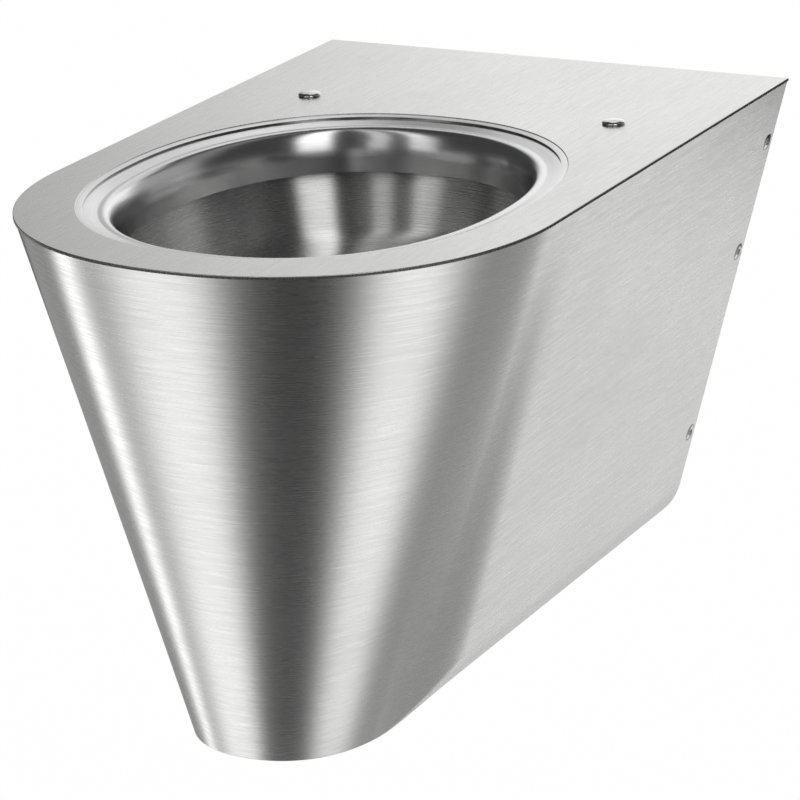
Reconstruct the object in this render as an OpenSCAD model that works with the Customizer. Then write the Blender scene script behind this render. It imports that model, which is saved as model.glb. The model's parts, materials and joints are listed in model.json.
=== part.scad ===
// Wall-hung toilet pan of bent and pressed stainless steel sheet, with its wall plate.
// Millimetres, +Z up. The wall is the plane y = 0 and the pan reaches towards -Y.
// The origin is at the wall, midway between the two wall studs; x = 0 is the middle.

/* [Body] */
// Width of the top plate
body_w = 360; // [340:1:380]
// Reach from the wall to the front edge of the top plate
body_l = 550; // [535:1:575]
// Height from the underside to the top
body_h = 345; // [335:1:360]
// Length of the top plate's rounded front
deck_nose_l = 173; // [165:1:200]
// Thickness of the top plate
deck_t = 2; // [1.5:0.1:3]
// How far the top plate stands out over the skirt
deck_overhang = 0.8; // [0.5:0.1:3]
// Thickness of the skirt, bottom plate and bowl sheets
sheet_t = 1.5; // [1:0.1:2]

/* [Underside] */
// Width across the leaning sides where they would meet the underside
belly_w = 165; // [155:1:180]
// Radius of the large bend along each lower edge
bend_r = 47; // [35:1:55]
// Radius of the sharp bottom edge round the nose
edge_r = 0.8; // [0.5:0.1:2]
// Width of the nose at the underside
foot_w = 134; // [120:1:145]
// How far the underside's front lies behind the top plate's
foot_back = 66; // [55:1:80]
// Length of the rounded nose of the underside
nose_l = 86; // [75:1:95]
// Distance behind the underside's front at which the large bend starts to fade out
fade_back = 129; // [119:1:154]
// Length over which the large bend fades out
fade_l = 70; // [50:1:80]

/* [Bowl] */
// Width of the opening in the top plate
opening_w = 296; // [280:1:304]
// Distance from the wall to the rear edge of the opening
rear_deck = 172.5; // [168:0.5:180]
// Width of the top plate in front of the opening
front_deck = 36.5; // [30:0.5:42]
// Width of the recessed ring, from the opening's edge to the collar's face
ring_w = 23.5; // [21:0.5:26]
// Depth of the collar's lower edge below the top
collar_drop = 37; // [32:1:40]
// Width of the flush channel between the collar and the bowl
channel_w = 12; // [9:0.5:13]
// Depth below the top at which the bowl starts to taper
taper_drop = 42; // [40:1:48]
// Height of the sump above the trap's lowest leg
sump_h = 45; // [42:1:50]
// Inner radius of the sump
sump_r = 45; // [43:0.5:47]
// Distance from the wall to the rear of the sump
sump_rear = 310; // [308:1:314]

/* [Trap and pipes] */
// Height of the wall studs below the top
stud_drop = 80; // [76:1:84]
// Height of the flush inlet above the wall studs
inlet_rise = 35; // [33:1:37]
// Depth of the waste outlet below the wall studs
outlet_fall = 100; // [96:1:104]
// Inner radius of the trap
trap_r = 38; // [34:0.5:39]
// Radius of the trap's bends at their middle
trap_bend_r = 50; // [48:1:52]
// Distance from the wall to the trap's first bend
trap_start = 290; // [288:1:294]
// Level reach of the trap from its first bend to the top of its crown
trap_reach = 130.5; // [128:0.5:133]
// Height of the trap's lowest leg above the underside
trap_floor = 85; // [83:1:89]
// Height of the trap's crown above the outlet
crown_rise = 46; // [42:1:48]
// Outer radius of the waste spigot
spigot_r = 50; // [48:0.5:52]
// Distance from the wall to the spigot's end
spigot_back = 4; // [2:1:10]
// Length of the level neck between the trap and the cone
neck_l = 20; // [18:1:22]
// Length of the cone between the neck and the spigot
cone_l = 10; // [8:1:12]
// Wall of the trap and the pipes
pipe_t = 1.5; // [1:0.1:2]
// Outer radius of the flush socket
socket_r = 29; // [27:0.5:30]
// Distance from the wall to the socket's end
socket_back = 6; // [5:1:9]
// Inner radius of the flush seal, which grips the flush pipe
seal_r = 22.5; // [21:0.5:24]
// Length of the flush seal inside the socket
seal_l = 30; // [24:1:34]
// Thickness of the flush seal's collar on the socket's end
seal_collar_t = 3; // [2:0.5:4]

/* [Wall plate] */
// Thickness of the wall plate
plate_t = 3; // [2:0.5:4]
// Depth of the plate's side flanges
flange_d = 25; // [20:1:30]
// Depth of the plate's top edge below the top
plate_drop = 7; // [6:0.5:10]
// Height of the plate's lower edge above the underside
plate_rise = 46; // [45:1:60]
// Gap between the plate's flanges and the skirt
plate_gap = 0.5; // [0.3:0.1:1]
// Spacing of the two wall studs
stud_gap = 180; // [170:1:190]
// Radius of the stud holes
stud_hole_r = 7; // [6.5:0.1:8]
// Spacing of the two lower anchor holes
anchor_gap = 130; // [126:1:140]
// Height of the anchor holes above the plate's lower edge
anchor_rise = 37; // [30:1:45]
// Radius of the anchor holes
anchor_r = 5; // [4:0.1:6]
// Radial room round the waste spigot in the plate
outlet_room = 7; // [5:0.5:8]
// Radial room round the flush socket in the plate
socket_room = 1.5; // [1:0.1:2]

/* [Side screws] */
// Depth of the upper screws below the top
screw_drop_top = 45; // [40:1:50]
// Depth of the middle screws below the top
screw_drop_mid = 127; // [120:1:135]
// Height of the lower screws above the underside
screw_rise_low = 78; // [73:1:85]
// Distance from the wall to the screws' axes
screw_back = 8.5; // [8.5:0.5:11]
// Radius of the screws' countersunk heads
screw_head_r = 5.9; // [5:0.1:6.2]
// Radius of the screws' shanks
screw_r = 3; // [2.5:0.1:3.5]
// Length of the screws
screw_l = 14; // [12:1:18]

/* [Seat hole stoppers] */
// Spacing of the two stoppers
stopper_gap = 232; // [220:1:240]
// Distance from the wall to the stoppers
stopper_back = 151; // [145:1:156]
// Radius of the stoppers' domes
dome_r = 7.6; // [6.5:0.1:9]
// Height of the stoppers' domes
dome_h = 3.2; // [2:0.1:4]
// Radius of the stoppers' stems
stem_r = 4; // [3:0.1:4.5]
// Length of the stoppers' stems below the dome
stem_l = 22; // [19:1:26]

/* [Hidden] */
$fn = 96;

// Shapes of the plan curves: 2 is an ellipse, more is squarer
deck_power = 2.12;
foot_power = 2.25;
ring_power = 2.2;
// How fast the bowl's rear and front walls draw in
rear_power = 1.5;
front_power = 1;
// Clearances: parts that are welded, parts that are screwed, and the overrun of every cut
weld_gap = 0.3;
thread_gap = 0.1;
hole_gap = 0.5;
cut = 5;

// Heights that many parts share
z_top = stud_drop;
z_deck = z_top - deck_t;
z_low = z_top - body_h;
z_inlet = inlet_rise;
z_outlet = -outlet_fall;
z_sump = z_low + trap_floor;
z_screws = [z_top - screw_drop_top, z_top - screw_drop_mid, z_low + screw_rise_low];

// Reaches from the wall that follow the body's length
deck_straight = body_l - deck_nose_l;
foot_l = body_l - foot_back;
fade_start = foot_l - fade_back;
opening_l = body_l - rear_deck - front_deck;
opening_y = rear_deck + opening_l / 2;

// Steps round the nose, in each bend, round the bowl and down its wall
nose_steps = 20;
bend_steps = 6;
round_steps = 72;
taper_steps = 14;
// Places along the straight sides where the skirt's sheet is defined, as shares of their length
side_shares = [0, 0.3, 0.6, 0.86, 0.9, 0.94, 0.97, 1];

function ease(u) = let (v = min(max(u, 0), 1)) v * v * (3 - 2 * v);
function power_cos(a, n) = sign(cos(a)) * pow(abs(cos(a)), 2 / n);
function power_sin(a, n) = sign(sin(a)) * pow(abs(sin(a)), 2 / n);
function oval(a, b, n, steps) =
    [for (i = [0 : steps - 1]) let (t = 360 * i / steps) [a * power_cos(t, n), b * power_sin(t, n)]];

// Triangles over a grid of points: rows of equal length, joined row to row
function grid_faces(rows, n, start, flip, wrap) = [
    for (r = [0 : rows - 2], k = [0 : wrap ? n - 1 : n - 2])
        let (
            a = start + r * n + k,
            b = start + r * n + (k + 1) % n,
            c = a + n,
            d = b + n
        )
        each flip ? [[a, c, b], [b, c, d]] : [[a, b, c], [b, d, c]]
];

// The skirt
// A station is a share of the straight side and an angle round the nose
side_stations = [for (s = side_shares) [s, 0]];
nose_stations = [for (i = [1 : nose_steps]) [1, 90 * i / nose_steps]];
stations = concat(side_stations, nose_stations);
top_a = body_w / 2 - deck_overhang;
top_b = body_l - deck_overhang - deck_straight;
foot_a = foot_w / 2;
belly_a = belly_w / 2;
foot_straight = foot_l - nose_l;
fold_in_r = sheet_t / 3;

function fade(y) = 1 - ease((-y - fade_start) / fade_l);
function top_xy(st) = [
    top_a * power_cos(st[1], deck_power),
    -deck_straight * st[0] - top_b * power_sin(st[1], deck_power)
];
function foot_xy(st) =
    let (y = -foot_straight * st[0] - nose_l * power_sin(st[1], foot_power))
    [foot_a * power_cos(st[1], foot_power) + (belly_a - foot_a) * fade(y), y];
function inward(st) = let (v = foot_xy(st) - top_xy(st)) v / norm(v);
function lean_at(st) = atan(norm(foot_xy(st) - top_xy(st)) / (z_deck - z_low));
function lower_r(st) = edge_r + (bend_r - edge_r) * fade(foot_xy(st)[1]);

// One side of the sheet at a station: its top point, then the points of the lower bend.
// off is 0 outside and the sheet's thickness inside.
function sheet_line(st, off) =
    let (
        d = inward(st),
        lean = lean_at(st),
        r = off == 0 ? lower_r(st) : max(lower_r(st) - off, fold_in_r),
        reach = (r + off) * tan((90 - lean) / 2),
        t = top_xy(st) + d * off / cos(lean),
        c = foot_xy(st) + d * reach
    )
    concat(
        [[t[0], t[1], z_deck]],
        [
            for (k = [0 : bend_steps])
                let (a = lean + (90 - lean) * k / bend_steps, p = c - d * r * cos(a))
                [p[0], p[1], z_low + off + r * (1 - sin(a))]
        ]
    );
function mirror_x(line) = [for (p = line) [-p[0], p[1], p[2]]];
function both_sides(off) =
    let (half = [for (st = stations) sheet_line(st, off)], last = len(half) - 1)
    concat(half, [for (i = [1 : last]) mirror_x(half[last - i])]);

// The leaning side: how far out it is at a height, outside and under a depth of metal
side_lean = atan((top_a - belly_a) / (z_deck - z_low));
function side_x(z) = top_a - (z_deck - z) * tan(side_lean);
function side_x_in(z, depth) = side_x(z) - depth / cos(side_lean);

module skirt_sheet() {
    outer = both_sides(0);
    inner = both_sides(sheet_t);
    rows = len(outer);
    n = bend_steps + 2;
    half = rows * n;
    points = concat([for (l = outer) each l], [for (l = inner) each l]);
    edges = [
        for (r = [0 : rows - 2])
            let (a = r * n, b = a + n, c = a + half, d = b + half, k = n - 1)
            each [[a, b, c], [b, d, c], [a + k, c + k, b + k], [b + k, c + k, d + k]]
    ];
    rear_right = [for (k = [0 : n - 2]) each [[k, half + k, k + 1], [k + 1, half + k, half + k + 1]]];
    e = (rows - 1) * n;
    rear_left = [
        for (k = [e : e + n - 2]) each [[k, k + 1, half + k], [k + 1, half + k + 1, half + k]]
    ];
    polyhedron(
        points,
        concat(
            grid_faces(rows, n, 0, false, false),
            grid_faces(rows, n, half, true, false),
            edges, rear_right, rear_left
        )
    );
}

// Places children on each side at the three screws, +Z along the outward normal
module at_screws() {
    for (side = [0, 1], z = z_screws)
        mirror([side, 0, 0])
            translate([side_x(z), -screw_back, z])
                rotate([0, 90 + side_lean, 0])
                    children();
}

module screw_cone(room) {
    head = screw_head_r + room;
    neck = screw_r + room;
    translate([0, 0, neck - head]) cylinder(r1 = neck, r2 = head, h = head - neck);
    cylinder(r = head, h = cut);
}

module skirt() {
    color([0.74, 0.75, 0.76])
        difference() {
            skirt_sheet();
            at_screws() {
                screw_cone(thread_gap);
                translate([0, 0, -cut]) cylinder(r = screw_r + thread_gap, h = cut);
            }
        }
}

// The bottom plate lies between the skirt's lower edges
function plate_edge(st) =
    let (
        lean = lean_at(st),
        reach = (max(lower_r(st), fold_in_r + sheet_t)) * tan((90 - lean) / 2) + weld_gap
    )
    foot_xy(st) + inward(st) * reach;

module bottom_plate() {
    right = [for (st = stations) plate_edge(st)];
    last = len(right) - 1;
    left = [for (i = [0 : last]) [-right[last - i][0], right[last - i][1]]];
    color([0.7, 0.71, 0.72])
        translate([0, 0, z_low]) linear_extrude(sheet_t) polygon(concat(right, left));
}

// The top plate
opening_a = opening_w / 2;
opening_b = opening_l / 2;
deck_b = body_l - deck_straight;
stopper_hole_r = stem_r + hole_gap;

module at_stoppers() {
    for (side = [-1, 1]) translate([side * stopper_gap / 2, -stopper_back, z_top]) children();
}

module top_plate() {
    nose = [
        for (i = [0 : 2 * nose_steps])
            let (t = 90 * i / nose_steps)
            [body_w / 2 * power_cos(t, deck_power), -deck_straight - deck_b * power_sin(t, deck_power)]
    ];
    color([0.8, 0.81, 0.82])
        difference() {
            translate([0, 0, z_deck])
                linear_extrude(deck_t)
                    difference() {
                        polygon(concat([[body_w / 2, 0]], nose, [[-body_w / 2, 0]]));
                        translate([0, -opening_y])
                            polygon(oval(opening_a, opening_b, ring_power, round_steps));
                    }
            at_stoppers() translate([0, 0, -cut]) cylinder(r = stopper_hole_r, h = 2 * cut);
        }
}

// The bowl rim: a flange under the top plate, a sloping ring, a rolled lip and an upright collar.
// Each row of shares is inward from the opening as a share of the ring's width, and downward
// from the top plate's underside as a share of the lip's depth.
flange_out = 8;
lip_drop = 16;
rim_top_shares = [[0, 0], [0.05, 0.06], [0.6, 0.28], [0.68, 0.33], [0.8, 0.42], [0.9, 0.57], [0.97, 0.78], [1, 1]];
rim_t = sheet_t;

// Rows of [inward, down] along the rim's upper face and back along its lower face
rim_top = concat(
    [[-flange_out, 0]],
    [for (s = rim_top_shares) [s[0] * ring_w, s[1] * lip_drop]],
    [[ring_w, collar_drop - deck_t]]
);
rim_last = len(rim_top) - 1;
function rim_normal(i) =
    let (
        a = rim_top[max(i - 1, 0)],
        b = rim_top[min(i + 1, rim_last)],
        v = b - a
    )
    [-v[1], v[0]] / norm(v);
rim_under = [for (i = [0 : rim_last]) rim_top[rim_last - i] + rim_t * rim_normal(rim_last - i)];
rim_rows = concat(rim_top, rim_under);

module bowl_rim() {
    rows = len(rim_rows);
    n = round_steps;
    points = [
        for (q = rim_rows)
            each [
                for (p = oval(opening_a - q[0], opening_b - q[0], ring_power, n))
                    [p[0], p[1] - opening_y, z_deck - q[1]]
            ]
    ];
    closing = [
        for (k = [0 : n - 1])
            let (a = (rows - 1) * n + k, b = (rows - 1) * n + (k + 1) % n, d = (k + 1) % n)
            each [[a, b, k], [b, d, k]]
    ];
    color([0.86, 0.87, 0.88])
        polyhedron(points, concat(grid_faces(rows, n, 0, false, true), closing));
}

// The bowl: a straight wall behind the collar, then a taper down to the round sump
channel_in = ring_w - rim_t - channel_w;
bowl_a = opening_a - channel_in;
bowl_b = opening_b - channel_in;
bowl_rear = -opening_y + bowl_b;
bowl_front = -opening_y - bowl_b;
sump_y = -sump_rear - sump_r;
bowl_top_drop = deck_t + lip_drop / 3;
z_taper = z_top - taper_drop;
slot_w = 76;
slot_top_drop = 14;
slot_h = 20;

// A row of the bowl is [half width, rear, front, z, power], and off is the sheet's thickness outside
function wall_row(drop, off) =
    [bowl_a + off, bowl_rear + off, bowl_front - off, z_top - drop, ring_power];
function taper_row(u, off) =
    let (k = (1 + cos(180 * u)) / 2)
    [
        sump_r + (bowl_a - sump_r) * k + off,
        -sump_rear + (bowl_rear + sump_rear) * pow(k, rear_power) + off,
        sump_y - sump_r + (bowl_front - sump_y + sump_r) * pow(k, front_power) - off,
        z_taper + (z_sump + sump_h - z_taper) * u,
        2 + (ring_power - 2) * k
    ];
function bowl_rows(off) =
    concat([wall_row(bowl_top_drop, off)], [for (i = [0 : taper_steps]) taper_row(i / taper_steps, off)]);
function row_points(row) =
    let (m = (row[1] + row[2]) / 2, b = (row[1] - row[2]) / 2)
    [for (p = oval(row[0], b, row[4], round_steps)) [p[0], p[1] + m, row[3]]];

// The bowl's outside as a filled form, grown by room, which the flush box is cut back from
module bowl_form(room) {
    rows = bowl_rows(sheet_t + room);
    n = round_steps;
    base = (len(rows) - 1) * n;
    polyhedron(
        [for (r = rows) each row_points(r)],
        concat(
            grid_faces(len(rows), n, 0, false, true),
            [[for (k = [0 : n - 1]) n - 1 - k]],
            [[for (k = [0 : n - 1]) base + k]]
        )
    );
}

// The bowl's straight wall as a filled form, which ribs and gussets are cut back from
module wall_form(room) {
    off = sheet_t + room;
    translate([0, -opening_y, z_top - taper_drop])
        linear_extrude(taper_drop - bowl_top_drop + cut)
            polygon(oval(bowl_a + off, bowl_b + off, ring_power, round_steps));
}

module bowl_sheet() {
    outer = bowl_rows(sheet_t);
    inner = bowl_rows(0);
    n = round_steps;
    half = len(outer) * n;
    base = half - n;
    ends = [
        for (k = [0 : n - 1])
            let (m = (k + 1) % n, a = base + k, b = base + m)
            each [[k, half + k, m], [m, half + k, half + m], [a, b, half + a], [b, half + b, half + a]]
    ];
    polyhedron(
        [for (r = concat(outer, inner)) each row_points(r)],
        concat(
            grid_faces(len(outer), n, 0, false, true),
            grid_faces(len(outer), n, half, true, true),
            ends
        )
    );
}

module bowl() {
    color([0.66, 0.67, 0.68])
        difference() {
            bowl_sheet();
            // The flush slot at the rear
            translate([-slot_w / 2, bowl_rear - sheet_t, z_top - slot_top_drop - slot_h])
                cube([slot_w, sheet_t + cut, slot_h]);
        }
}

// The sump: a cup with a round bottom under the bowl, with the trap's mouth in its rear
module sump_form(off) {
    r = sump_r + off;
    translate([0, sump_y, z_sump])
        rotate_extrude()
            intersection() {
                union() {
                    square([r, sump_h]);
                    circle(r);
                }
                translate([0, -r]) square([r, r + sump_h]);
            }
}

module sump() {
    color([0.64, 0.65, 0.66])
        difference() {
            sump_form(sheet_t);
            sump_form(0);
            translate([0, sump_y, z_sump]) rotate([-90, 0, 0]) cylinder(r = trap_r, h = 2 * sump_r);
        }
}

// The trap, drawn in the plane x = 0: a level leg, a bend up, a leg, the crown and a bend level again
// The riser's slope follows from the trap's reach and its rise
z_crown = z_outlet + crown_rise;
bends = 2 * trap_bend_r;
rise_over = z_crown - z_sump - bends;
up_angle = atan(rise_over / trap_reach) + asin(bends / norm([trap_reach, rise_over]));
down_angle = acos(1 - crown_rise / bends);
trap_start_l = sump_r + sump_rear - trap_start;
trap_o = trap_r + pipe_t;
y_first = -trap_start;
rise_a = [y_first + trap_bend_r * sin(up_angle), z_sump + trap_bend_r * (1 - cos(up_angle))];
z_rise_b = z_crown - trap_bend_r * (1 - cos(up_angle));
rise_l = (z_rise_b - rise_a[1]) / sin(up_angle);
y_crown = y_first + trap_reach;
y_last = y_crown + bends * sin(down_angle);

module elbow(y, z, from, sweep, r) {
    translate([0, y, z])
        rotate([90, 0, 90])
            rotate([0, 0, from]) rotate_extrude(angle = sweep) translate([trap_bend_r, 0]) circle(r);
}

// A leg from a point in the plane x = 0, rising at an angle from +Y
module leg(y, z, angle, length, r) {
    translate([0, y, z]) rotate([angle - 90, 0, 0]) cylinder(r = r, h = length);
}

spigot_in_r = spigot_r - pipe_t;

// The trap is five welded lengths of tube: a mouth, a bend, a riser, the crown and a tail
module trap_mouth() {
    start = y_first - trap_start_l;
    color([0.64, 0.65, 0.66])
        difference() {
            leg(start, z_sump, 0, trap_start_l, trap_o);
            leg(start - cut, z_sump, 0, trap_start_l + 2 * cut, trap_r);
            sump_form(sheet_t + weld_gap);
        }
}

module trap_bend() {
    color([0.62, 0.63, 0.64])
        difference() {
            elbow(y_first, z_sump + trap_bend_r, -90, up_angle, trap_o);
            elbow(y_first, z_sump + trap_bend_r, -90, up_angle, trap_r);
        }
}

module trap_riser() {
    color([0.64, 0.65, 0.66])
        translate([0, rise_a[0], rise_a[1]])
            rotate([up_angle, 0, 0]) tube(trap_o, trap_r, rise_l);
}

module trap_crown() {
    color([0.6, 0.61, 0.62])
        difference() {
            elbow(y_crown, z_crown - trap_bend_r, 90 - down_angle, up_angle + down_angle, trap_o);
            elbow(y_crown, z_crown - trap_bend_r, 90 - down_angle, up_angle + down_angle, trap_r);
        }
}

module trap_tail() {
    color([0.62, 0.63, 0.64])
        difference() {
            elbow(y_last, z_outlet + trap_bend_r, -90 - down_angle, down_angle, trap_o);
            elbow(y_last, z_outlet + trap_bend_r, -90 - down_angle, down_angle, trap_r);
        }
}

module tube(r_out, r_in, length) {
    rotate([-90, 0, 0])
        difference() {
            cylinder(r = r_out, h = length);
            translate([0, 0, -cut]) cylinder(r = r_in, h = length + 2 * cut);
        }
}

module outlet_spigot() {
    end = -spigot_back - y_last;
    color([0.68, 0.69, 0.7])
        translate([0, y_last, z_outlet])
            rotate([-90, 0, 0])
                rotate_extrude()
                    polygon([
                        [trap_r, 0], [trap_o, 0], [trap_o, neck_l], [spigot_r, neck_l + cone_l],
                        [spigot_r, end], [spigot_in_r, end], [spigot_in_r, neck_l + cone_l],
                        [trap_r, neck_l]
                    ]);
}

// The flush box behind the bowl, the socket in its rear wall, the seal and the spreader
box_w = 88;
box_back = 122;
box_room = 3;
box_top_drop = 11;
box_l = -bowl_rear - box_back + bowl_b / 5;

module flush_box() {
    low = z_inlet - socket_r - box_room;
    high = z_top - box_top_drop;
    back = -box_back;
    color([0.64, 0.65, 0.66])
        difference() {
            translate([-box_w / 2, back - box_l, low]) cube([box_w, box_l, high - low]);
            translate([-box_w / 2 + sheet_t, back - box_l - cut, low + sheet_t])
                cube([box_w - 2 * sheet_t, box_l + cut - sheet_t, high - low - 2 * sheet_t]);
            translate([0, back - cut, z_inlet])
                rotate([-90, 0, 0]) cylinder(r = socket_r + weld_gap, h = 2 * cut);
            bowl_form(weld_gap);
        }
}

module flush_socket() {
    length = box_back + sheet_t - socket_back;
    color([0.7, 0.71, 0.72])
        translate([0, -box_back - sheet_t, z_inlet]) tube(socket_r, socket_r - pipe_t, length);
}

module flush_seal() {
    in_r = socket_r - pipe_t - thread_gap;
    color([0.12, 0.12, 0.13])
        translate([0, -socket_back, z_inlet])
            rotate([-90, 0, 0])
                difference() {
                    union() {
                        translate([0, 0, -seal_l]) cylinder(r = in_r, h = seal_l);
                        cylinder(r = socket_r, h = seal_collar_t);
                    }
                    translate([0, 0, -seal_l - cut])
                        cylinder(r = seal_r, h = seal_l + seal_collar_t + 2 * cut);
                }
}

spreader_w = 60;
spreader_h = 22;
spreader_out = 6;

// An angle in the flush channel, welded over the slot, which turns the water to both sides
module flush_spreader() {
    high = z_top - slot_top_drop + sheet_t;
    face = bowl_rear - spreader_out;
    color([0.72, 0.73, 0.74]) {
        translate([0, 0, high - sheet_t])
            linear_extrude(sheet_t)
                intersection() {
                    translate([-spreader_w / 2, face]) square([spreader_w, 2 * spreader_out]);
                    translate([0, -opening_y])
                        polygon(oval(bowl_a - weld_gap, bowl_b - weld_gap, ring_power, round_steps));
                }
        translate([-spreader_w / 2, face - sheet_t, high - spreader_h])
            cube([spreader_w, sheet_t, spreader_h]);
    }
}

// The wall plate: a back with two leaning side flanges and a lip along its top
plate_high = z_top - plate_drop;
plate_low = z_low + plate_rise;
outlet_hole_r = spigot_r + outlet_room;
socket_hole_r = socket_r + socket_room;
flange_depth = sheet_t + plate_gap;

module plate_outline(depth_out, depth_in) {
    polygon([
        [side_x_in(plate_low, depth_in), plate_low],
        [side_x_in(plate_low, depth_out), plate_low],
        [side_x_in(plate_high, depth_out), plate_high],
        [side_x_in(plate_high, depth_in), plate_high]
    ]);
}

module wall_plate() {
    wide = flange_depth;
    color([0.6, 0.61, 0.63])
        difference() {
            union() {
                rotate([90, 0, 0])
                    linear_extrude(plate_t)
                        polygon([
                            [side_x_in(plate_low, wide), plate_low],
                            [side_x_in(plate_high, wide), plate_high],
                            [-side_x_in(plate_high, wide), plate_high],
                            [-side_x_in(plate_low, wide), plate_low]
                        ]);
                for (side = [0, 1])
                    mirror([side, 0, 0])
                        rotate([90, 0, 0])
                            linear_extrude(flange_d) plate_outline(wide, wide + plate_t);
                rotate([90, 0, 0])
                    linear_extrude(flange_d)
                        polygon([
                            [side_x_in(plate_high, wide), plate_high],
                            [-side_x_in(plate_high, wide), plate_high],
                            [-side_x_in(plate_high - plate_t, wide), plate_high - plate_t],
                            [side_x_in(plate_high - plate_t, wide), plate_high - plate_t]
                        ]);
            }
            for (side = [-1, 1]) {
                translate([side * stud_gap / 2, cut, 0])
                    rotate([90, 0, 0]) cylinder(r = stud_hole_r, h = plate_t + 2 * cut);
                translate([side * anchor_gap / 2, cut, plate_low + anchor_rise])
                    rotate([90, 0, 0]) cylinder(r = anchor_r, h = plate_t + 2 * cut);
            }
            translate([0, cut, z_outlet])
                rotate([90, 0, 0]) cylinder(r = outlet_hole_r, h = plate_t + 2 * cut);
            translate([0, cut, z_inlet])
                rotate([90, 0, 0]) cylinder(r = socket_hole_r, h = plate_t + 2 * cut);
            at_screws() {
                screw_cone(thread_gap);
                translate([0, 0, -flange_depth - plate_t - cut])
                    cylinder(r = screw_r + thread_gap, h = flange_depth + plate_t + cut);
            }
        }
}

washer_r = 18.5;
washer_t = 3;
washer_hole_r = 6.5;
nut_af = 18;
nut_h = 10;
nut_hole_r = 6.1;

// A hexagon nut, its base at z = 0, pointing up
module hex_nut(across_flats, hole_r, height) {
    difference() {
        cylinder(r = across_flats / sqrt(3), h = height, $fn = 6);
        translate([0, 0, -cut]) cylinder(r = hole_r, h = height + 2 * cut);
    }
}

module washer(r, hole_r, height) {
    difference() {
        cylinder(r = r, h = height);
        translate([0, 0, -cut]) cylinder(r = hole_r, h = height + 2 * cut);
    }
}

module wall_washers() {
    color([0.78, 0.79, 0.8])
        for (side = [-1, 1])
            translate([side * stud_gap / 2, -plate_t, 0])
                rotate([90, 0, 0]) washer(washer_r, washer_hole_r, washer_t);
}

module wall_nuts() {
    color([0.7, 0.71, 0.72])
        for (side = [-1, 1])
            translate([side * stud_gap / 2, -plate_t - washer_t, 0])
                rotate([90, 0, 0]) hex_nut(nut_af, nut_hole_r, nut_h);
}

// The rail under the top plate that hangs on the wall plate's lip
rail_w = 280;
rail_t = 2;
rail_back = 4;
rail_down = 11;

module hanging_rail() {
    front = flange_d + weld_gap;
    color([0.66, 0.67, 0.68])
        rotate([90, 0, 90])
            translate([0, 0, -rail_w / 2])
                linear_extrude(rail_w)
                    polygon([
                        [-rail_back, z_deck], [-front - rail_t, z_deck],
                        [-front - rail_t, z_deck - rail_down], [-front, z_deck - rail_down],
                        [-front, plate_high + weld_gap], [-rail_back, plate_high + weld_gap]
                    ]);
}

// The side screws have a lobed recess with a pin in its middle
recess_r = 2.1;
recess_lobe_r = 0.55;
recess_d = 2.2;
recess_pin_r = 0.6;
head_h = screw_head_r - screw_r;

module side_screws() {
    color([0.55, 0.56, 0.58])
        at_screws()
            difference() {
                union() {
                    translate([0, 0, -head_h]) cylinder(r1 = screw_r, r2 = screw_head_r, h = head_h);
                    translate([0, 0, -screw_l]) cylinder(r = screw_r, h = screw_l - head_h);
                }
                translate([0, 0, -recess_d])
                    difference() {
                        union() {
                            cylinder(r = recess_r - recess_lobe_r, h = recess_d + cut);
                            for (k = [0 : 5])
                                rotate([0, 0, 60 * k])
                                    translate([recess_r - recess_lobe_r, 0, 0])
                                        cylinder(r = recess_lobe_r, h = recess_d + cut, $fn = 24);
                        }
                        cylinder(r = recess_pin_r, h = recess_d);
                    }
            }
}

weld_nut_af = 10;
weld_nut_h = 5;

module weld_nuts() {
    color([0.5, 0.51, 0.53])
        at_screws()
            translate([0, 0, -flange_depth - plate_t - weld_nut_h])
                hex_nut(weld_nut_af, screw_r + thread_gap, weld_nut_h);
}

// The stoppers close the seat holes, each held from below
module hole_stoppers() {
    ball_r = (dome_r * dome_r + dome_h * dome_h) / (2 * dome_h);
    color([0.85, 0.86, 0.87])
        at_stoppers() {
            difference() {
                translate([0, 0, dome_h - ball_r]) sphere(r = ball_r);
                translate([0, 0, -2 * ball_r]) cylinder(r = 2 * ball_r, h = 2 * ball_r);
            }
            translate([0, 0, -stem_l]) cylinder(r = stem_r, h = stem_l);
        }
}

pad_w = 44;
pad_l = 36;
pad_t = 3;
small_washer_r = 10;
small_washer_t = 1.5;
small_nut_af = 13;
small_nut_h = 6.5;

module seat_hole_plates() {
    color([0.6, 0.61, 0.62])
        at_stoppers()
            translate([0, 0, -deck_t - pad_t])
                difference() {
                    translate([-pad_w / 2, -pad_l / 2, 0]) cube([pad_w, pad_l, pad_t]);
                    translate([0, 0, -cut]) cylinder(r = stopper_hole_r, h = pad_t + 2 * cut);
                }
}

module stopper_washers() {
    color([0.15, 0.15, 0.16])
        at_stoppers()
            translate([0, 0, -deck_t - pad_t - small_washer_t])
                washer(small_washer_r, stopper_hole_r, small_washer_t);
}

module stopper_nuts() {
    color([0.7, 0.71, 0.72])
        at_stoppers()
            translate([0, 0, -deck_t - pad_t - small_washer_t - small_nut_h])
                hex_nut(small_nut_af, stem_r + thread_gap, small_nut_h);
}

// Gussets carry the bowl from the hanging rail, one on each side
gusset_x = 72;
gusset_t = 3;
gusset_h = 36;
gusset_back = flange_d + weld_gap + rail_t + weld_gap;

module gusset(side) {
    front = -bowl_rear + bowl_b / 4;
    high = z_deck - weld_gap;
    color([0.62, 0.63, 0.64])
        difference() {
            translate([side * gusset_x - gusset_t / 2, 0, 0])
                rotate([90, 0, 90])
                    linear_extrude(gusset_t)
                        polygon([
                            [-gusset_back, high], [-front, high], [-front, high - gusset_h],
                            [-gusset_back - gusset_h, high - gusset_h], [-gusset_back, high - rail_down]
                        ]);
            wall_form(weld_gap);
            rim_room();
        }
}

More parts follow.
